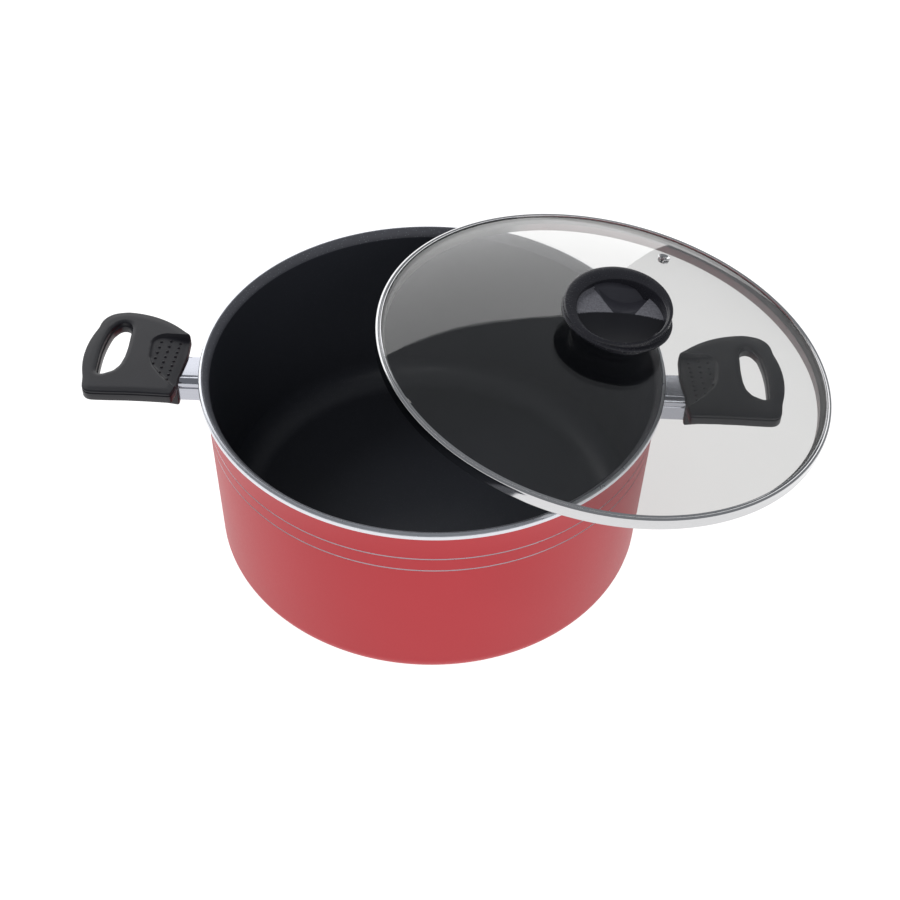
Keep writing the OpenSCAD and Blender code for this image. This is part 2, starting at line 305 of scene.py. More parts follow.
def stainless(name, dark, light, low, high, stretch):
    """Stainless sheet: mirror-like where it was buffed, dull as rolled, with fine lines along one way."""
    made, tree = new_tree(name)
    spot = add(tree, "ShaderNodeTexCoord").outputs["Object"]
    lined = add(tree, "ShaderNodeMapping", {"Vector": spot, "Scale": stretch})
    lines = add(tree, "ShaderNodeTexNoise", {"Vector": lined.outputs[0], "Scale": 1.0, "Detail": 3.0})
    shade = add(
        tree,
        "ShaderNodeMix",
        {"Factor": lines.outputs["Fac"], "A": tint(dark), "B": tint(light)},
        data_type="RGBA",
    )
    gloss = add(tree, "ShaderNodeMapRange", {"Value": lines.outputs["Fac"], "To Min": low, "To Max": high})
    bump = add(tree, "ShaderNodeBump", {"Height": lines.outputs["Fac"], "Strength": 0.08, "Distance": 0.0001})
    metal = add(
        tree,
        "ShaderNodeBsdfPrincipled",
        {
            "Base Color": shade.outputs[2],
            "Metallic": 1.0,
            "Roughness": gloss.outputs[0],
            "Normal": bump.outputs[0],
        },
    )
    add(tree, "ShaderNodeOutputMaterial", {"Surface": metal.outputs[0]})
    return made


def hardware_metal(name, dark, light, rough):
    """Small turned or plated hardware: bright, and a little mottled."""
    made, tree = new_tree(name)
    spot = add(tree, "ShaderNodeTexCoord").outputs["Object"]
    noise = add(tree, "ShaderNodeTexNoise", {"Vector": spot, "Scale": 1 / 0.002, "Detail": 2.0})
    mottle = noise.outputs["Fac"]
    shade = add(
        tree,
        "ShaderNodeMix",
        {"Factor": mottle, "A": tint(dark), "B": tint(light)},
        data_type="RGBA",
    )
    gloss = add(tree, "ShaderNodeMapRange", {"Value": mottle, "To Min": rough, "To Max": rough + 0.15})
    bump = add(tree, "ShaderNodeBump", {"Height": mottle, "Strength": 0.05, "Distance": 0.0001})
    metal = add(
        tree,
        "ShaderNodeBsdfPrincipled",
        {
            "Base Color": shade.outputs[2],
            "Metallic": 1.0,
            "Roughness": gloss.outputs[0],
            "Normal": bump.outputs[0],
        },
    )
    add(tree, "ShaderNodeOutputMaterial", {"Surface": metal.outputs[0]})
    return made


def silicone_rubber():
    """Moulded silicone: dark, matte, with a soft bloom."""
    made, tree = new_tree("silicone_rubber")
    spot = add(tree, "ShaderNodeTexCoord").outputs["Object"]
    bloom = add(tree, "ShaderNodeTexNoise", {"Vector": spot, "Scale": 1 / 0.004, "Detail": 2.0})
    shade = add(
        tree,
        "ShaderNodeMix",
        {"Factor": bloom.outputs["Fac"], "A": tint("#161616"), "B": tint("#202021")},
        data_type="RGBA",
    )
    gloss = add(tree, "ShaderNodeMapRange", {"Value": bloom.outputs["Fac"], "To Min": 0.6, "To Max": 0.8})
    bump = add(tree, "ShaderNodeBump", {"Height": bloom.outputs["Fac"], "Strength": 0.1, "Distance": 0.0002})
    rubber = add(
        tree,
        "ShaderNodeBsdfPrincipled",
        {
            "Base Color": shade.outputs[2],
            "Roughness": gloss.outputs[0],
            "IOR": 1.43,
            "Normal": bump.outputs[0],
        },
    )
    add(tree, "ShaderNodeOutputMaterial", {"Surface": rubber.outputs[0]})
    return made


def tempered_glass():
    """Tempered soda-lime glass, faintly smoked. Lamps shine through it, as through the real one."""
    made, tree = new_tree("tempered_glass")
    spot = add(tree, "ShaderNodeTexCoord").outputs["Object"]
    # sagging over the mould leaves a wave about 50 mm long: reflections bend a little, and nothing more
    sag = add(tree, "ShaderNodeTexNoise", {"Vector": spot, "Scale": 1 / 0.05, "Detail": 1.0})
    shade = add(
        tree,
        "ShaderNodeMix",
        {"Factor": sag.outputs["Fac"], "A": tint("#D4D4D3"), "B": tint("#D8D8D7")},
        data_type="RGBA",
    )
    gloss = add(tree, "ShaderNodeMapRange", {"Value": sag.outputs["Fac"], "To Min": 0.0, "To Max": 0.01})
    bump = add(tree, "ShaderNodeBump", {"Height": sag.outputs["Fac"], "Strength": 0.05, "Distance": 0.001})
    pane = add(
        tree,
        "ShaderNodeBsdfPrincipled",
        {
            "Base Color": shade.outputs[2],
            "Roughness": gloss.outputs[0],
            "IOR": 1.5,
            "Transmission Weight": 1.0,
            "Normal": bump.outputs[0],
        },
    )
    lamp = add(tree, "ShaderNodeBsdfTransparent", {"Color": tint("#DCDCDB")})
    path = add(tree, "ShaderNodeLightPath")
    soft = add(
        tree,
        "ShaderNodeMath",
        {0: path.outputs["Is Shadow Ray"], 1: path.outputs["Is Diffuse Ray"]},
        operation="MAXIMUM",
    )
    both = add(tree, "ShaderNodeMixShader", {0: soft.outputs[0], 1: pane.outputs[0], 2: lamp.outputs[0]})
    add(tree, "ShaderNodeOutputMaterial", {"Surface": both.outputs[0]})
    return made


ENAMEL = red_baked_enamel()
ALUMINIUM = turned_aluminium()
NONSTICK = nonstick_ptfe("nonstick_ptfe", "#303238", "#44464E")
# over the turned lip the coat is drawn greyer and lighter than the lining
NONSTICK_LIP = nonstick_ptfe("nonstick_thin_coat", "#5C5D63", "#9A9CA3")
RESIN = phenolic("moulded_phenolic", "#121217", "#1B1B21", 0.34, 0.48, 0.8, 0.08)
# the fan behind the grip bar is the same resin drawn lighter, as painted light
RESIN_DISH_PAINTED_LIT = phenolic("moulded_phenolic_dish", "#2C2C33", "#38383F", 0.34, 0.46, 0.8, 0.04)
RESIN_POLISHED = phenolic("polished_phenolic", "#1D1D22", "#2B2B31", 0.2, 0.32, 1.2, 0.012)
# spark-eroded grain of the grip bar's flats, 0.3 mm; drawn at 1.2 mm so that it shows. Its light grey is
# painted light, for the lamp falling on the flats
RESIN_GRAINED_PAINTED_LIT = phenolic("grained_phenolic", "#3C3C42", "#88888F", 0.4, 0.6, 1.2, 0.7, 1.1)
# buffing lines 0.15 mm apart, drawn at 0.8 mm so that they show
GUARD_STEEL = stainless("buffed_stainless", "#AEB0B8", "#BABCC4", 0.1, 0.22, (40.0, 1250.0, 1250.0))
BAND_STEEL = stainless("spun_stainless", "#C9C9CA", "#D1D1D2", 0.07, 0.13, (300.0, 300.0, 1250.0))
# the inside of the band's skirt, as rolled
MILL_STEEL = stainless("mill_finish_stainless", "#ACACAC", "#BCBCBC", 0.6, 0.75, (300.0, 300.0, 1250.0))
ZINC = hardware_metal("zinc_plated_steel", "#ACAFB5", "#BCBFC4", 0.25)
BRASS = hardware_metal("turned_brass", "#C29B52", "#D0AB62", 0.2)
RUBBER = silicone_rubber()
GLASS = tempered_glass()


# ---------------------------------------------------------------- mesh makers
def arc(cx, cy, r, a0, a1, n=8):
    """Points of an arc, angles in degrees."""
    out = []
    for i in range(n + 1):
        a = math.radians(a0 + (a1 - a0) * i / n)
        out.append((cx + r * math.cos(a), cy + r * math.sin(a)))
    return out


def piece(name, verts, faces, materials, slots=None, place=None, sharp=32.0):
    """A mesh object from points in millimetres, smooth but for edges of more than sharp degrees."""
    matrix = place or Matrix.Identity(4)
    mesh = bpy.data.meshes.new(name)
    mesh.from_pydata([(matrix @ Vector(v)) * MM for v in verts], [], faces)
    for m in materials:
        mesh.materials.append(m)
    if slots:
        mesh.polygons.foreach_set("material_index", slots)
    work = bmesh.new()
    work.from_mesh(mesh)
    bmesh.ops.remove_doubles(work, verts=work.verts, dist=1e-7)
    bmesh.ops.recalc_face_normals(work, faces=work.faces)
    for face in work.faces:
        face.smooth = True
    limit = math.radians(sharp)
    for edge in work.edges:
        edge.smooth = len(edge.link_faces) == 2 and edge.calc_face_angle() < limit
    work.to_mesh(mesh)
    work.free()
    made = bpy.data.objects.new(name, mesh)
    bpy.context.scene.collection.objects.link(made)
    return made


def lathe(profile, steps, closed=False, marks=None):
    """Turns (radius, height) points about Z. marks gives the material slot of each segment."""
    verts, rings = [], []
    for r, z in profile:
        if r < 1e-6:
            rings.append([len(verts)])
            verts.append((0.0, 0.0, z))
            continue
        rings.append(list(range(len(verts), len(verts) + steps)))
        for i in range(steps):
            a = 2 * math.pi * i / steps
            verts.append((r * math.cos(a), r * math.sin(a), z))
    faces, slots = [], []
    count = len(profile)
    for k in range(count if closed else count - 1):
        low, high = rings[k], rings[(k + 1) % count]
        for i in range(steps):
            j = (i + 1) % steps
            if len(low) == 1:
                faces.append((low[0], high[i], high[j]))
            elif len(high) == 1:
                faces.append((low[i], low[j], high[0]))
            else:
                faces.append((low[i], low[j], high[j], high[i]))
            slots.append(marks[k] if marks else 0)
    return verts, faces, slots


def loft(loops, ring=False):
    """Joins closed loops of equal length and caps both ends, or with ring joins the last to the first."""
    size, count = len(loops[0]), len(loops)
    verts = [p for loop in loops for p in loop]
    faces = []
    for k in range(count if ring else count - 1):
        a, b = k * size, ((k + 1) % count) * size
        for i in range(size):
            j = (i + 1) % size
            faces.append((a + i, a + j, b + j, b + i))
    if not ring:
        faces.append(tuple(range(size)))
        faces.append(tuple(range((count - 1) * size, count * size)))
    return verts, faces


def merge(*parts):
    """One list of verts and one of faces from several."""
    verts, faces = [], []
    for v, f in parts:
        base = len(verts)
        verts.extend(v)
        faces.extend(tuple(i + base for i in face) for face in f)
    return verts, faces


def even_loop(points, gap, soften):
    """Closed outline resampled at about gap, with its corners eased by a few passes of averaging."""
    count = len(points)
    lengths = [math.dist(points[i], points[(i + 1) % count]) for i in range(count)]
    total = sum(lengths)
    wanted = max(8, round(total / gap))
    out, k, run = [], 0, 0.0
    for i in range(wanted):
        target = total * i / wanted
        while run + lengths[k] < target:
            run += lengths[k]
            k += 1
        t = (target - run) / max(lengths[k], 1e-9)
        a, b = points[k], points[(k + 1) % count]
        out.append((a[0] + (b[0] - a[0]) * t, a[1] + (b[1] - a[1]) * t))
    for _ in range(soften):
        out = [
            (
                0.5 * out[i][0] + 0.25 * (out[i - 1][0] + out[(i + 1) % wanted][0]),
                0.5 * out[i][1] + 0.25 * (out[i - 1][1] + out[(i + 1) % wanted][1]),
            )
            for i in range(wanted)
        ]
    return out


def inset(loop, amount):
    """Counter-clockwise outline moved inwards, a little at a time, so that tight corners don't fold."""
    count = len(loop)
    passes = max(1, math.ceil(abs(amount) / 0.4))
    for _ in range(passes):
        moved = []
        for i in range(count):
            ax, ay = loop[i - 1]
            bx, by = loop[(i + 1) % count]
            dx, dy = bx - ax, by - ay
            size = math.hypot(dx, dy) or 1.0
            moved.append((loop[i][0] - dy / size * amount / passes, loop[i][1] + dx / size * amount / passes))
        loop = moved
        if passes > 1:
            loop = [
                (
                    0.7 * loop[i][0] + 0.15 * (loop[i - 1][0] + loop[(i + 1) % count][0]),
                    0.7 * loop[i][1] + 0.15 * (loop[i - 1][1] + loop[(i + 1) % count][1]),
                )
                for i in range(count)
            ]
    return loop


def to_outline(x, y, loop):
    """Distance from a point to an outline: positive inside it, negative outside."""
    best, inside = 1e9, False
    count = len(loop)
    for i in range(count):
        ax, ay = loop[i]
        bx, by = loop[(i + 1) % count]
        dx, dy = bx - ax, by - ay
        t = max(0.0, min(1.0, ((x - ax) * dx + (y - ay) * dy) / (dx * dx + dy * dy + 1e-12)))
        best = min(best, math.hypot(x - ax - t * dx, y - ay - t * dy))
        if (ay > y) != (by > y) and x < ax + (y - ay) / (by - ay) * dx:
            inside = not inside
    return best if inside else -best


def ease(t):
    """Smooth step from 0 to 1."""
    t = max(0.0, min(1.0, t))
    return t * t * (3 - 2 * t)


def fill_between(outside, hole, inner_points=()):
    """Triangles between an outline and the hole in it. Also says which new point each given one became."""
    edges, start = [], 0
    for loop in (outside, hole):
        edges += [(start + i, start + (i + 1) % len(loop)) for i in range(len(loop))]
        start += len(loop)
    given = [Vector(p) for p in [*outside, *hole, *inner_points]]
    points, _, triangles, sources = delaunay_2d_cdt(given, edges, [], 0, 1e-5)[:4]
    kept = []
    for corners in triangles:
        x = sum(points[i][0] for i in corners) / 3
        y = sum(points[i][1] for i in corners) / 3
        if to_outline(x, y, outside) > 0 and to_outline(x, y, hole) < 0:
            kept.append(tuple(corners))
    became = {old: new for new, came in enumerate(sources) for old in came}
    return points, kept, became


def spaced(start, end, step):
    """Numbers from start up to end, a step apart."""
    while start < end:
        yield start
        start += step


def carry(made, body, slot, *nodes):
    """Rides a new piece on its body, for the CAD nodes that it stands for."""
    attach(made, body)
    if nodes:
        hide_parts(*nodes)
    return made


# ---------------------------------------------------------------- pot
def build_pot():
    """Base, wall, bare rim and lining, as one turned body."""
    red, bare, black, lip = 0, 1, 2, 3
    points, marks = [(0.0, BASE_DISH_DEEP)], []

    def run(more, mark):
        for p in more:
            points.append(p)
            marks.append(mark)

    # machined base: a shallow dish in the middle and three rings
    run([(BASE_DISH_R, BASE_DISH_DEEP), (BASE_DISH_R + 1.0, 0.0)], bare)
    for r in BASE_RINGS_R:
        run([(r, 0.0), (r + 0.5, 0.4), (r + 1.0, 0.4), (r + 1.5, 0.0)], bare)
    side_r = wall_r(CORNER_R)
    run([(side_r - CORNER_R, 0.0)], bare)
    run(arc(side_r - CORNER_R, CORNER_R, CORNER_R, -90, 0, 14)[1:], red)
    for z in reversed(LINES_Z):
        low, high = z - LINE_W / 2, z + LINE_W / 2
        run([(wall_r(low), low)], red)
        run([(wall_r(low) - LINE_DEEP, low + 0.2), (wall_r(high) - LINE_DEEP, high - 0.2)], bare)
        run([(wall_r(high), high)], bare)
    run([(wall_r(WALL_TOP_Z - 1.2), WALL_TOP_Z - 1.2)], red)
    # under-edge of the bare band, its face and its eased top
    run(arc(WALL_TOP_R + 1.2, WALL_TOP_Z - 1.2, 1.2, 180, 90, 4)[1:], red)
    run([(RIM_R - 0.5, WALL_TOP_Z)], bare)
    run(arc(RIM_R - 0.5, WALL_TOP_Z + 0.5, 0.5, -90, 0, 4)[1:], bare)
    run(arc(RIM_R - 2.2, POT_H - 2.2, 2.2, 0, 68, 8), bare)
    # the coated lip slopes in to the wall
    run([(RIM_R - 1.9, POT_H - 0.1)], bare)
    run(arc(RIM_R - 2.3, POT_H - 1.3, 1.2, 80, 130, 4)[1:], lip)
    inner_top = WALL_TOP_R - WALL_T
    run([(inner_top + 1.3, POT_H - LIP_DROP + 1.1), (inner_top + 0.4, POT_H - LIP_DROP - 0.2)], lip)
    run([(inner_top, POT_H - LIP_DROP - 1.6)], lip)
    floor_r = wall_r(BASE_T + FILLET_R) - WALL_T
    run([(wall_r(80) - WALL_T, 80.0)], black)
    run(arc(floor_r - FILLET_R, BASE_T + FILLET_R, FILLET_R, 0, -90, 20), black)
    run([(60.0, BASE_T), (0.0, BASE_T)], black)
    verts, faces, slots = lathe(points, TURNED_STEPS, marks=marks)
    finishes = [ENAMEL, ALUMINIUM, NONSTICK, NONSTICK_LIP]
    made = piece("pot_shell", verts, faces, finishes, slots, sharp=40)
    return carry(made, "pot", "coated_aluminium", "pot_body")


# ---------------------------------------------------------------- handles
def mirrored(verts, side):
    """The points as they are on the right, or mirrored on the left."""
    return [(x * side, y, z) for x, y, z in verts]


def guard_outline(shrink, bead):
    """Section of the flame guard in (y, z), counter-clockwise. The bead stands out at its front top edge."""
    half_w, half_h = GUARD_W / 2 - shrink, GUARD_H / 2 - shrink
    r = GUARD_CORNER_R - shrink
    out = []
    out += arc(half_w - r, -half_h + r, r, -90, 0, 6)
    out += arc(half_w - r, half_h - r, r, 0, 90, 6)
    if bead:
        # a fine groove on each side of the bead
        out += [(-6.5, half_h), (-7.0, half_h - 0.48)]
        out += arc(-half_w + r, half_h - r, r + bead, 40, 228, 22)
        out += [(-half_w + 0.4, half_h - 5.5), (-half_w, half_h - 6.0)]
    else:
        # as many points as with a bead, so that the sections join
        out += [(-half_w + r + 1.0, half_h), (-half_w + r + 0.5, half_h)]
        out += arc(-half_w + r, half_h - r, r, 90, 180, 22)
        out += [(-half_w, half_h - r - 0.5), (-half_w, half_h - r - 1.0)]
    out += arc(-half_w + r, -half_h + r, r, 180, 270, 6)
    return out


def build_guard(side, name):
    """Sleeve of buffed sheet from the pot's wall into the handle, with a bead on its front top edge."""
    beaded = guard_outline(0.0, GUARD_BEAD)
    sleeve = guard_outline(0.0, 0.0)
    inside = guard_outline(GUARD_SHEET, 0.0)

    def at_wall(section):
        out = []
        for y, z in section:
            r = wall_r(AXIS_Z + z) + 0.05
            out.append((math.sqrt(r * r - y * y), y, AXIS_Z + z))
        return out

    def at(x, section):
        return [(x, y, AXIS_Z + z) for y, z in section]

    # the bead stops at the handle's face, and the sleeve goes on into the socket
    loops = [
        at_wall(beaded),
        at(BEAD_END - 1.9, beaded),
        at(BEAD_END, beaded),
        at(BEAD_END + 0.1, sleeve),
        at(GUARD_END, sleeve),
        at(GUARD_END, inside),
        at_wall(inside),
    ]
    verts, faces = loft(loops, ring=True)
    made = piece(f"{name}_guard_sleeve", mirrored(verts, side), faces, [GUARD_STEEL], sharp=30)
    return carry(made, "pot", "polished_steel", f"{name}_flame_guard")


def handle_outline():
    """Plan of the handle's plate, counter-clockwise: its front edge is a little hollow."""
    out = [(158.2, -31.0), (165.0, -30.75), (175.0, -30.5), (187.0, -30.5), (198.0, -30.9)]
    out += arc(207.8, -25.0, 6.0, -90, -12, 8)
    out += arc(145.0, 4.0, 73.0, -17, 20, 16)
    out += arc(199.7, 31.2, 13.6, 8, 84, 8)
    out += arc(199.5, -13.0, 58.5, 92, 134, 14)
    out += [(154.2, 25.5), (154.0, 9.0), (156.8, -13.0), (156.3, -22.0)]
    return out


def slot_outline():
    """Plan of the finger slot, counter-clockwise: wide at the back and pointed at the outer front."""
    out = arc(204.4, -11.0, 3.4, 235, 350, 8)
    out += arc(111.2, 4.0, 97.0, -2, 14.5, 12)
    out += arc(197.8, 29.5, 5.6, 20, 145, 10)
    out += [(192.0, 29.1), (191.6, 14.1), (192.2, 2.6), (193.8, -5.4), (197.0, -10.7)]
    return out


def scoop_outline():
    """Plan of the thumb recess, counter-clockwise: straight behind, rounded, and slanted in front."""
    out = [(150.0, -25.0), (160.0, -21.5), (168.0, -13.6), (174.6, -4.7), (177.4, 2.5)]
    out += arc(168.9, 16.3, 9.0, 0, 90, 10)
    out += [(150.0, 25.3)]
    return out


HANDLE_EDGE = even_loop(handle_outline(), 1.1, 3)
SLOT_EDGE = even_loop(slot_outline(), 1.0, 2)
SCOOP_EDGE = even_loop(scoop_outline(), 1.0, 1)


def plate_top(x, y):
    """Height of the plate's top: it falls at its edge, in the thumb recess and round the slot."""
    z = HANDLE_TOP - PLATE_FALL * (1 - ease(to_outline(x, y, HANDLE_EDGE) / PLATE_FALL_W))
    # the recess deepens towards the pot; its wall is steep behind and slopes in front
    deep = SCOOP_SHALLOW + SCOOP_FALL * max(0.0, min(1.0, (SCOOP_END - x) / SCOOP_REACH))
    wall_w = 2.6 - 1.2 * ease(y / 12.0)
    z -= deep * ease(to_outline(x, y, SCOOP_EDGE) / wall_w + 0.1)
    z -= SLOT_DIP * (1 - ease(-to_outline(x, y, SLOT_EDGE) / SLOT_DIP_W))
    return z


def plate_grid(top_edge, slot_edge):
    """Points of the plate's top: an even grid, and rows along the recess's wall, kept off the edges."""
    grid = []
    for x in spaced(152.0, 219.0, 0.9):
        for y in spaced(-32.0, 46.0, 0.9):
            if to_outline(x, y, top_edge) > 0.5 and to_outline(x, y, slot_edge) < -0.5:
                if abs(to_outline(x, y, SCOOP_EDGE) - 0.4) > 0.55:
                    grid.append((x, y))
    for shift in (-0.2, 0.45, 1.1):
        for x, y in inset(SCOOP_EDGE, shift):
            if to_outline(x, y, top_edge) > 0.4:
                grid.append((x, y))
    return grid


def handle_plate():
    """Crowned plate with its finger slot, its parting line and a hollow underside."""
    top_edge = inset(HANDLE_EDGE, HANDLE_EDGE_R)
    slot_edge = inset(SLOT_EDGE, -HANDLE_EDGE_R)
    points, faces, became = fill_between(top_edge, slot_edge, plate_grid(top_edge, slot_edge))
    verts = [(p[0], p[1], plate_top(p[0], p[1])) for p in points]

    def wall(edge_ids, outline, hung, level, outward):
        """Rows down from the top's edge: first by (inset, drop below it), then by (inset, height)."""
        count = len(edge_ids)
        rows = [(shift, [verts[i][2] - drop for i in edge_ids]) for shift, drop in hung]
        rows += [(shift, [HANDLE_BOTTOM + height] * count) for shift, height in level]
        last = edge_ids
        for shift, heights in rows:
            now = list(range(len(verts), len(verts) + count))
            verts.extend((x, y, z) for (x, y), z in zip(inset(outline, shift), heights))
            for i in range(count):
                j = (i + 1) % count
                quad = (last[i], last[j], now[j], now[i])
                faces.append(quad if outward else quad[::-1])
            last = now
        return last

    turns = [math.radians(a) for a in (22, 45, 68, 90)]
    rounded = [(HANDLE_EDGE_R * (1 - math.sin(a)), HANDLE_EDGE_R * (1 - math.cos(a))) for a in turns]
    # the parting line is a shallow groove, with a lip below it
    parting = [(0.05, 1.2), (0.55, 1.6), (0.55, 2.1), (0.0, 2.5)]
    under = [(0.0, 0.8), (0.25, 0.2), (0.8, 0.0), (2.0, 0.0), (2.3, 0.4), (2.6, HOLLOW_H)]
    outer_ids = [became[i] for i in range(len(top_edge))]
    outer_rim = wall(outer_ids, HANDLE_EDGE, rounded + parting, under, True)

    lead_in = [(-0.45, 0.1), (-0.12, 0.35), (0.0, 0.8), (0.25, 2.4), (0.9, 2.9), (1.0, 3.4)]
    under = [(1.0, 0.5), (0.7, 0.0), (-1.2, 0.0), (-1.5, 0.4), (-1.8, HOLLOW_H)]
    slot_ids = [became[len(top_edge) + i] for i in range(len(slot_edge))]
    slot_rim = wall(slot_ids, SLOT_EDGE, lead_in, under, False)

    # flat ceiling of the hollow
    rims = outer_rim + slot_rim
    around, triangles, became = fill_between(
        [verts[i][:2] for i in outer_rim], [verts[i][:2] for i in slot_rim]
    )
    ids = {new: rims[old] for old, new in became.items()}
    for corners in triangles:
        for i in corners:
            if i not in ids:
                ids[i] = len(verts)
                verts.append((around[i][0], around[i][1], HANDLE_BOTTOM + HOLLOW_H))
        faces.append(tuple(ids[i] for i in corners))
    return verts, faces


def boss_section(x, half_w, low, high, r, n=12):
    """Rounded rectangle square to the boss, with n points to a corner."""
    out = arc(half_w - r, low + r, r, -90, 0, n - 1)
    out += arc(half_w - r, high - r, r, 0, 90, n - 1)
    out += arc(-half_w + r, high - r, r, 90, 180, n - 1)
    out += arc(-half_w + r, low + r, r, 180, 270, n - 1)
    return [(x, y, z) for y, z in out]


def screw_circle(x, r, n=12):
    """Circle round the screw's axis, with the same points to a quarter as boss_section has."""
    out = []
    for start in (-90, 0, 90, 180):
        out += arc(0, AXIS_Z, r, start, start + 90 - 90 / n, n - 1)
    return [(x, y, z) for y, z in out]


def handle_boss():
    """Boss under the plate: from the guard's socket, round its mouth, out to the screw's counterbore."""
    half_w, low, top = BOSS_W / 2, BOSS_BOTTOM, HANDLE_BOTTOM + 3.2
    socket_w = GUARD_W / 2 + 0.05
    socket_low, socket_high = AXIS_Z - GUARD_H / 2 - 0.05, AXIS_Z + GUARD_H / 2 + 0.05
    bore_r = 5.05
    return loft(
        [
            boss_section(GUARD_END + 0.2, socket_w, socket_low, socket_high, GUARD_CORNER_R),
            boss_section(BOSS_MOUTH + 0.3, socket_w, socket_low, socket_high, GUARD_CORNER_R),
            boss_section(BOSS_MOUTH, socket_w + 0.3, socket_low - 0.3, socket_high + 0.3, 2.8),
            boss_section(BOSS_MOUTH, half_w - 0.9, low + 0.9, top, 2.0),
            boss_section(BOSS_MOUTH + 0.3, half_w - 0.3, low + 0.3, top, 2.4),
            boss_section(BOSS_MOUTH + 1.1, half_w, low, top, 2.6),
            boss_section(168.0, half_w - 0.5, low + 0.9, top, 2.8),
            boss_section(BOSS_END - 1.4, half_w - 2.2, low + 2.6, top, 3.2),
            boss_section(BOSS_END - 0.4, half_w - 2.7, low + 3.1, top, 3.2),
            boss_section(BOSS_END, half_w - 3.6, low + 4.0, top, 3.2),
            screw_circle(BOSS_END, bore_r + 0.55),
            screw_circle(BOSS_END - 0.5, bore_r),
            screw_circle(SCREW_SEAT, bore_r),
        ]
    )


def handle_dots():
    """Raised dots of the thumb recess, in leaning rows of nine, seven and five."""
    rows = (
        ((160.4, 19.8), (163.4, -14.4), 9),
        ((166.4, 20.7), (168.7, -9.2), 7),
        ((172.1, 19.0), (173.9, -1.8), 5),
    )
    profile = [(0.0, -0.3), (1.0, -0.3), (1.0, 0.02), (0.88, 0.32), (0.6, 0.56), (0.3, 0.68), (0.0, 0.72)]
    verts, faces, _ = lathe(profile, 14)
    dots = []
    for (x0, y0), (x1, y1), count in rows:
        for i in range(count):
            t = i / (count - 1)
            x, y = x0 + (x1 - x0) * t, y0 + (y1 - y0) * t
            z = plate_top(x, y)
            dots.append(([(x + a, y + b, z + c) for a, b, c in verts], faces))
    return dots


def build_handle(side, name, moulding):
    """One of the two handles, from the moulding's points and faces."""
    verts, faces = moulding
    made = piece(f"{name}_handle_grip", mirrored(verts, side), faces, [RESIN], sharp=38)
    return carry(made, "pot", "phenolic", f"{name}_handle")


# ---------------------------------------------------------------- lid
def build_glass():
    """Domed glass with a ground edge inside the band and a bore for the knob's screw."""
    rings, bore_r = 44, 4.0
    radii = [bore_r] + [GLASS_R * i / rings for i in range(2, rings + 1)]
    top = [(r, dome(r)) for r in radii]
    bottom = [(r, z - GLASS_T) for r, z in reversed(top)]
    verts, faces, _ = lathe(top + bottom, TURNED_STEPS, closed=True)
    made = piece("lid_dome", verts, faces, [GLASS], place=LID, sharp=50)
    return carry(made, "lid", "tempered_glass", "lid_glass")


def build_band():
    """Rolled stainless band: a lip on the glass, a bead, a skirt and the step that drops inside the rim."""
    lip_r = GLASS_R - 2.5
    on_glass = dome(lip_r)
    sheet = 0.8
    points = [
        (lip_r, on_glass + 0.08),
        (lip_r, on_glass + 0.55),
        (lip_r + 0.2, on_glass + 0.7),
        (lip_r + 0.6, on_glass + 0.58),
        (lip_r + 0.85, on_glass + 0.15),
        (lip_r + 1.1, on_glass - 0.1),
        (lip_r + 1.35, on_glass - 0.02),
    ]
    points += arc(LID_R - 1.35, 0.05, 1.35, 140, 0, 12)
    points += [(LID_R - 0.15, -0.9), (LID_R - 0.2, -2.0), (LID_R - 0.05, -SKIRT_H + 0.9)]
    points += arc(LID_R - 0.5, -SKIRT_H + 0.5, 0.5, 0, -90, 4)
    points += [(STEP_R + 0.5, -SKIRT_H), (STEP_R, -SKIRT_H - 0.5), (STEP_R, -SKIRT_H - STEP_H + 0.3)]
    points += [(STEP_R - 0.3, -SKIRT_H - STEP_H), (STEP_R - sheet + 0.2, -SKIRT_H - STEP_H)]
    points += [(STEP_R - sheet, -SKIRT_H - STEP_H + 0.3), (STEP_R - sheet, -SKIRT_H + sheet)]
    points += [(GLASS_R + 0.1, -SKIRT_H + sheet), (GLASS_R + 0.1, 0.1)]
    # the inside of the skirt keeps the rolling mill's dull finish
    marks = [1 if k >= len(points) - 5 else 0 for k in range(len(points))]
    verts, faces, slots = lathe(points, TURNED_STEPS, closed=True, marks=marks)
    made = piece("lid_rim_band", verts, faces, [BAND_STEEL, MILL_STEEL], slots, place=LID, sharp=35)
    return carry(made, "lid", "polished_steel", "lid_band")


def vent_place():
    """Frame of the steam vent: on the dome, square to it."""
    slope = math.atan(DOME_H * DOME_POWER * (VENT_R / GLASS_R) ** (DOME_POWER - 1) / GLASS_R)
    return (
        LID
        @ Matrix.Rotation(VENT_AZ, 4, "Z")
        @ Matrix.Translation((VENT_R, 0.0, dome(VENT_R)))
        @ Matrix.Rotation(slope, 4, "Y")
    )


def build_vent():
    """Steel eyelet of the steam vent: a rolled flange and a tube through the glass."""
    tail = -GLASS_T - 0.9
    points = [(1.5, tail), (1.5, -0.3), (1.9, 0.0), (2.9, 0.25), (3.2, 0.6)]
    points += arc(3.75, 0.55, 0.5, 150, 0, 8)
    points += [(4.15, 0.1), (2.5, 0.05), (2.45, tail)]
    verts, faces, _ = lathe(points, 48, closed=True)
    made = piece("steam_vent_eyelet", verts, faces, [BAND_STEEL], place=vent_place(), sharp=40)
    return carry(made, "lid", "polished_steel", "vent_eyelet")


# ---------------------------------------------------------------- knob
def rim_z(x, y):
    """Height of the knob's sloping rim above its foot: highest at the back right."""
    return 19.6 + 0.09 * x + 0.125 * y


def recess_parts(x, y):
    """How far a point is inside the front scoop, and inside the two sides of the fan behind the waist."""
    front = 75.0 - math.hypot(x - 10.5, y + 73.0)
    left = ((x + 2.5) * 13.8 + (y - 0.3) * 9.4) / 16.7
    right = (-(x - 11.8) * 20.3 + (y - 2.8) * 12.3) / 23.7
    return front, min(left, right)


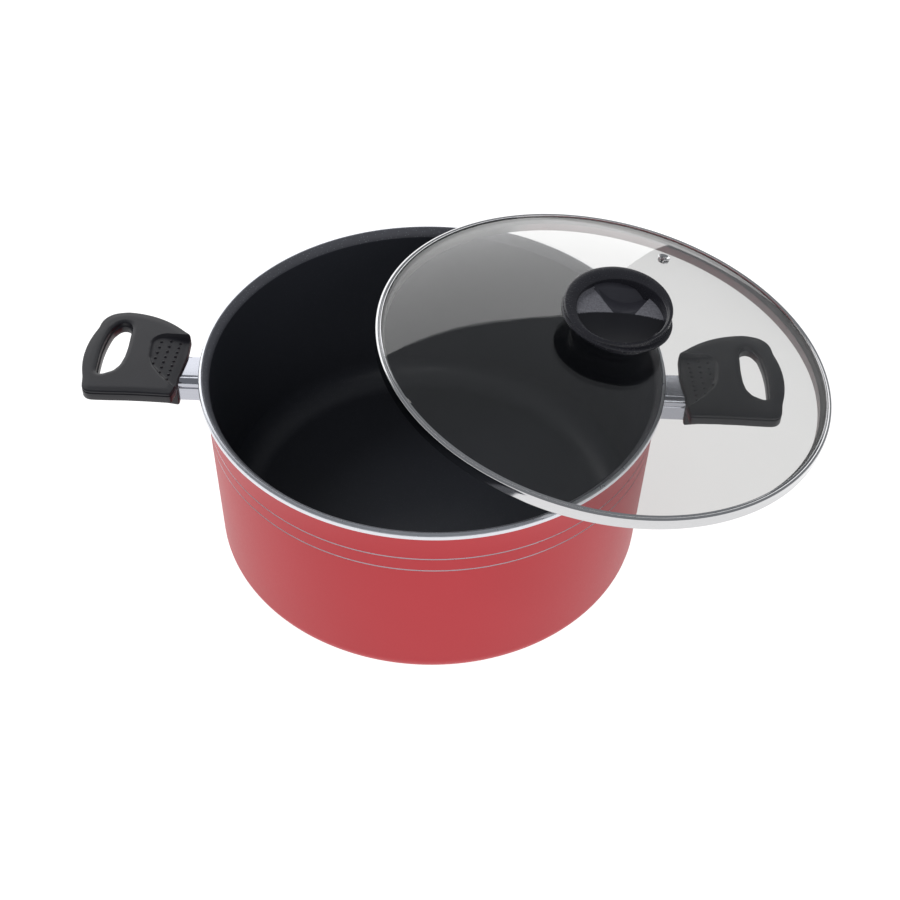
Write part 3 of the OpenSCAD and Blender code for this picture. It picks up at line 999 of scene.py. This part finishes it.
def knob_floor(x, y):
    """Height of the finger recess: a waisted bar, a deep scoop in front and a fan-shaped one behind."""
    front, sides = recess_parts(x, y)
    fan = min(sides, -front)
    plateau = 13.0 + 0.11 * max(0.0, y) + 0.0016 * (x - 4.0) ** 2
    scoop = 6.6 * (1 - math.exp(-max(0.0, front) / 8.0)) * ease((front + 0.3) / 0.9)
    z = plateau - scoop
    if fan > 0:
        # a bowl, the steep wall behind it and the ledge above that
        bowl = 10.6 + 0.10 * max(0.0, 14.0 - y) + 0.016 * (x - 5.0 - 0.1 * y) ** 2
        wall = 16.6 - 1.0 * (21.5 + 0.17 * (x - 5.0) - y)
        ledge = 16.6 + 0.28 * (y - 21.5 - 0.17 * (x - 5.0))
        inside = min(max(bowl, wall), ledge)
        z += (min(inside, plateau + 3.0) - z) * ease(fan / 0.9)
    return z


def build_knob():
    """Moulded knob: foot, neck, disc and a sloping ring round the finger recess."""
    verts, faces, slots, rows = [], [], [], []
    # the grained and dished slots hold resin drawn lighter: painted light on the grip bar's flats and on the
    # fan
    plain, shiny, grained_painted_lit, dished_painted_lit = 0, 1, 2, 3
    angles = [2 * math.pi * i / KNOB_STEPS for i in range(KNOB_STEPS)]
    axis = Vector((0.0, 0.0))

    def circle(centre, r):
        return [(centre.x + r * math.cos(a), centre.y + r * math.sin(a)) for a in angles]

    def row(points, mark):
        """Joins a new row of points to the row before. mark is a material slot, or gives one for a place."""
        start = len(verts)
        verts.extend(points)
        rows.append(range(start, len(verts)))
        if len(rows) == 1:
            return
        last, now = rows[-2:]
        for i in range(KNOB_STEPS):
            j = (i + 1) % KNOB_STEPS
            faces.append((last[i], last[j], now[j], now[i]))
            x, y = ((verts[last[i]][k] + verts[now[j]][k]) / 2 for k in (0, 1))
            slots.append(mark(x, y) if callable(mark) else mark)

    # the flats and the fan take the lighter slots, which are painted light
    def floor_finish(x, y):
        front, sides = recess_parts(x, y)
        if front > 0.3:
            return plain
        return dished_painted_lit if sides > 0.2 else grained_painted_lit

    # insert's pocket, foot, neck and the underside of the disc
    profile = [(5.05, 8.9), (5.05, 0.4), (5.4, 0.0), (21.6, 0.0), (22.0, 0.4), (22.0, 2.3), (22.4, 2.5)]
    profile += [(24.7, 2.6), (25.0, 2.9), (25.0, 8.2), (25.3, 8.9), (26.0, 9.3), (31.5, 10.2), (33.4, 10.8)]
    profile += arc(33.7, 11.7, 0.9, -60, 0, 4) + arc(33.9, 12.3, 0.7, 0, 80, 4)
    for r, z in profile:
        row([(x, y, z) for x, y in circle(axis, r)], shiny)
    # ring: its foot on the disc and its rounded outer edge
    row([(x, y, 13.2) for x, y in circle(RING_AT, RING_R + 0.1)], shiny)
    for degrees in (0, 22, 45, 68, 90):
        a = math.radians(degrees)
        drop = RING_EDGE_R * (1 - math.sin(a))
        r = RING_R - RING_EDGE_R * (1 - math.cos(a))
        row([(x, y, rim_z(x, y) - drop) for x, y in circle(RING_AT, r)], shiny)
    # its top: from the outer edge to the off-centre recess, slightly crowned
    outer = [verts[i] for i in rows[-1]]
    inner = circle(RECESS, RECESS_R + 0.9)
    for t in (0.15, 0.35, 0.6, 0.85, 1.0):
        points = []
        for a, (ox, oy, _), (ix, iy) in zip(angles, outer, inner):
            x, y = ox + (ix - ox) * t, oy + (iy - oy) * t
            dip = 0.9 * t * t * (0.4 + 0.6 * max(0.0, math.sin(a)))
            points.append((x, y, rim_z(x, y) + 0.35 * math.sin(math.pi * t) - dip))
        row(points, shiny)
    # its rounded inner edge, then the recess's wall, a little undercut
    lip = [verts[i][2] for i in rows[-1]]
    for shift, drop in ((0.45, 0.12), (0.12, 0.45), (0.0, 0.9)):
        row([(x, y, z - drop) for (x, y), z in zip(circle(RECESS, RECESS_R + shift), lip)], shiny)
    undercut = circle(RECESS, RECESS_R + 0.3)
    row([(x, y, min(knob_floor(x, y), z - 1.2)) for (x, y), z in zip(undercut, lip)], shiny)
    # the recess's floor, in rings that close on its centre
    r = RECESS_R
    while r > 0.6:
        row([(x, y, knob_floor(x, y)) for x, y in circle(RECESS, r)], floor_finish)
        r -= 0.45
    centre = len(verts)
    verts.append((RECESS.x, RECESS.y, knob_floor(RECESS.x, RECESS.y)))
    # end of the insert's pocket
    pocket = len(verts)
    verts.append((0.0, 0.0, 8.9))
    turns = [(i, (i + 1) % KNOB_STEPS) for i in range(KNOB_STEPS)]
    faces += [(rows[-1][i], rows[-1][j], centre) for i, j in turns]
    faces += [(rows[0][j], rows[0][i], pocket) for i, j in turns]
    slots += [plain] * (2 * KNOB_STEPS)
    finishes = [RESIN, RESIN_POLISHED, RESIN_GRAINED_PAINTED_LIT, RESIN_DISH_PAINTED_LIT]
    place = LID @ Matrix.Translation((0.0, 0.0, KNOB_Z))
    made = piece("lid_knob_grip", verts, faces, finishes, slots, place=place, sharp=48)
    return carry(made, "knob", "phenolic", "knob")


# ---------------------------------------------------------------- assembly
build_pot()
handle_moulding = merge(handle_plate(), handle_boss(), *handle_dots())
for side, name in ((1, "right"), (-1, "left")):
    build_guard(side, name)
    build_handle(side, name, handle_moulding)
build_glass()
build_band()
build_vent()
build_knob()

# the small hardware keeps its CAD shape
FINISHES = {
    "stud": ALUMINIUM,
    "handle_screw": ZINC,
    "lock_washer": ZINC,
    "eyelet_washer": BAND_STEEL,
    "upper_gasket": RUBBER,
    "lower_gasket": RUBBER,
    "cup_washer": BAND_STEEL,
    "knob_screw": ZINC,
    "knob_insert": BRASS,
}
for node_name, held in frame["nodes"].items():
    kind = node_name.replace("left_", "").replace("right_", "")
    if kind in FINISHES:
        held.data.materials.clear()
        held.data.materials.append(FINISHES[kind])


# ---------------------------------------------------------------- studio
def floor():
    """Plain pale sweep that glows a little, so that shadows on it are faint."""
    paint, tree = new_tree("pale_floor")
    paper = add(
        tree,
        "ShaderNodeBsdfPrincipled",
        {
            "Base Color": tint("#808080"),
            "Roughness": 0.9,
            "Emission Color": tint("#FFFFFF"),
            "Emission Strength": 1.0,
        },
    )
    add(tree, "ShaderNodeOutputMaterial", {"Surface": paper.outputs[0]})
    half, z = 6000.0, -0.2
    corners = [(-half, -half, z), (half, -half, z), (half, half, z), (-half, half, z)]
    sweep = piece("studio_floor", corners, [(0, 1, 2, 3)], [paint])


def softbox(name, where, target, width, height, power, mirrored_in_glass=False):
    """Soft rectangular lamp, in metres. Only the back panel may be seen in glass and metal."""
    lamp = bpy.data.lights.new(name, "AREA")
    lamp.shape = "RECTANGLE"
    lamp.size, lamp.size_y = width, height
    lamp.energy = power
    held = bpy.data.objects.new(name, lamp)
    bpy.context.scene.collection.objects.link(held)
    held.location = where
    held.rotation_euler = (Vector(target) - Vector(where)).to_track_quat("-Z", "Y").to_euler()
    held.visible_camera = False
    held.visible_glossy = mirrored_in_glass


floor()
# panel behind on the left, which the glass mirrors
panel_az = math.radians(-30.0)
panel_far = 3.4
right_way = Vector((math.cos(panel_az), -math.sin(panel_az), 0.0))
facing = Vector((math.sin(panel_az), math.cos(panel_az), 0.0))
panel_at = facing * panel_far + right_way * 0.5 + Vector((0.05, 0.0, 1.69))
softbox("back_panel", panel_at, panel_at - facing, 6.0, 3.3, 92.0, True)
softbox("key_panel", (-1.3, 0.9, 1.9), (0.0, 0.0, 0.1), 1.4, 1.0, 22.0)
softbox("fill_panel", (0.2, -2.4, 1.5), (0.0, 0.0, 0.1), 2.4, 1.4, 24.0)

world = bpy.data.worlds.new("studio")
bpy.context.scene.world = world
world.use_nodes = True
sky = world.node_tree
sky.nodes.clear()
glow = add(sky, "ShaderNodeBackground", {"Color": tint("#C8CBD0"), "Strength": 0.45})
add(sky, "ShaderNodeOutputWorld", {"Surface": glow.outputs[0]})
bpy.context.scene.view_settings.view_transform = "Standard"

# camera, in metres
CAMERA_AT = Vector((0.02566, -0.74427, 0.7871))
CAMERA_DOWN = math.radians(44.39)
CAMERA_TURN = math.radians(1.0)
CAMERA_ROLL = math.radians(1.79)
lens = bpy.data.cameras.new("studio_camera")
lens.lens, lens.sensor_width = 64.0, 36.0
camera = bpy.data.objects.new("studio_camera", lens)
bpy.context.scene.collection.objects.link(camera)
aim = Vector(
    (
        -math.sin(CAMERA_TURN) * math.cos(CAMERA_DOWN),
        math.cos(CAMERA_TURN) * math.cos(CAMERA_DOWN),
        -math.sin(CAMERA_DOWN),
    )
)
camera.matrix_world = (
    Matrix.Translation(CAMERA_AT)
    @ aim.to_track_quat("-Z", "Y").to_matrix().to_4x4()
    @ Matrix.Rotation(CAMERA_ROLL, 4, "Z")
)
bpy.context.scene.camera = camera
